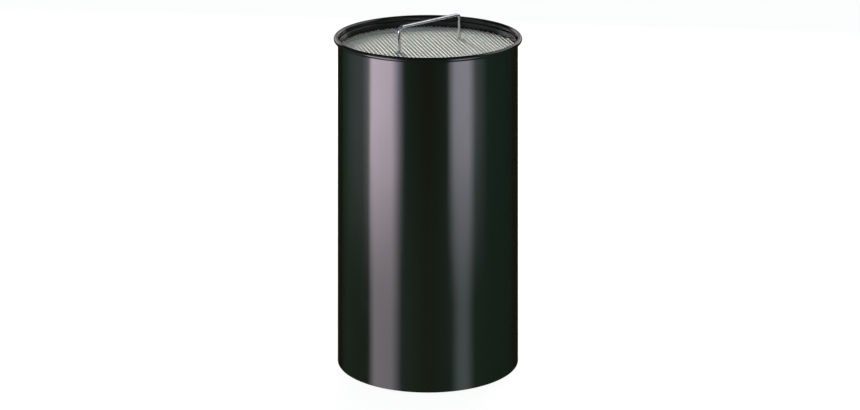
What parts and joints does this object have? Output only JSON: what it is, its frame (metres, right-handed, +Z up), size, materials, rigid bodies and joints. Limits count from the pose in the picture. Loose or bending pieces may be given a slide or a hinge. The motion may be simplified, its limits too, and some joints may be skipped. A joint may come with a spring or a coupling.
{
  "type": "ash bin with a sand pan",
  "caption": "Free-standing round steel ash bin with a rolled rim, a lift-out sand pan and a lift-out welded-mesh screen with an upright bent-wire handle.",
  "frame": {"origin": "on the floor, on the shell's vertical axis", "axes": "+Z up along the shell's axis, -Y towards the front, +X to the right as seen from the front"},
  "size_m": [0.314, 0.314, 0.567],
  "materials": {
    "black_enamel": "gloss",
    "black_rubber": "matte",
    "plated_steel": "satin",
    "galvanised_wire": "satin",
    "yellow_zinc": "satin",
    "pale_sand": "matte"
  },
  "bodies": {
    "root": {"shell": "black_enamel", "base_plate": "black_enamel", "foot_front_right": "black_rubber", "foot_back_right": "black_rubber", "foot_back_left": "black_rubber", "foot_front_left": "black_rubber", "foot_screws": "plated_steel", "foot_washers": "plated_steel", "foot_nuts": "plated_steel", "pan_bracket_back": "black_enamel", "pan_bracket_front_left": "black_enamel", "pan_bracket_front_right": "black_enamel"},
    "pan": {"sand_pan": "black_enamel", "sand": "pale_sand"},
    "screen": {"screen_top_wires": "galvanised_wire", "screen_bottom_wires": "galvanised_wire", "handle": "plated_steel", "handle_washer_left": "yellow_zinc", "handle_washer_right": "yellow_zinc", "backing_washer_left": "plated_steel", "backing_washer_right": "plated_steel"}
  },
  "joints": [
    {"name": "pan_lift", "type": "slide", "parent": "root", "child": "pan", "axis": [0, 0, 1], "range_m": [0, 0.15]},
    {"name": "screen_lift", "type": "slide", "parent": "pan", "child": "screen", "axis": [0, 0, 1], "range_m": [0, 0.15]}
  ]
}
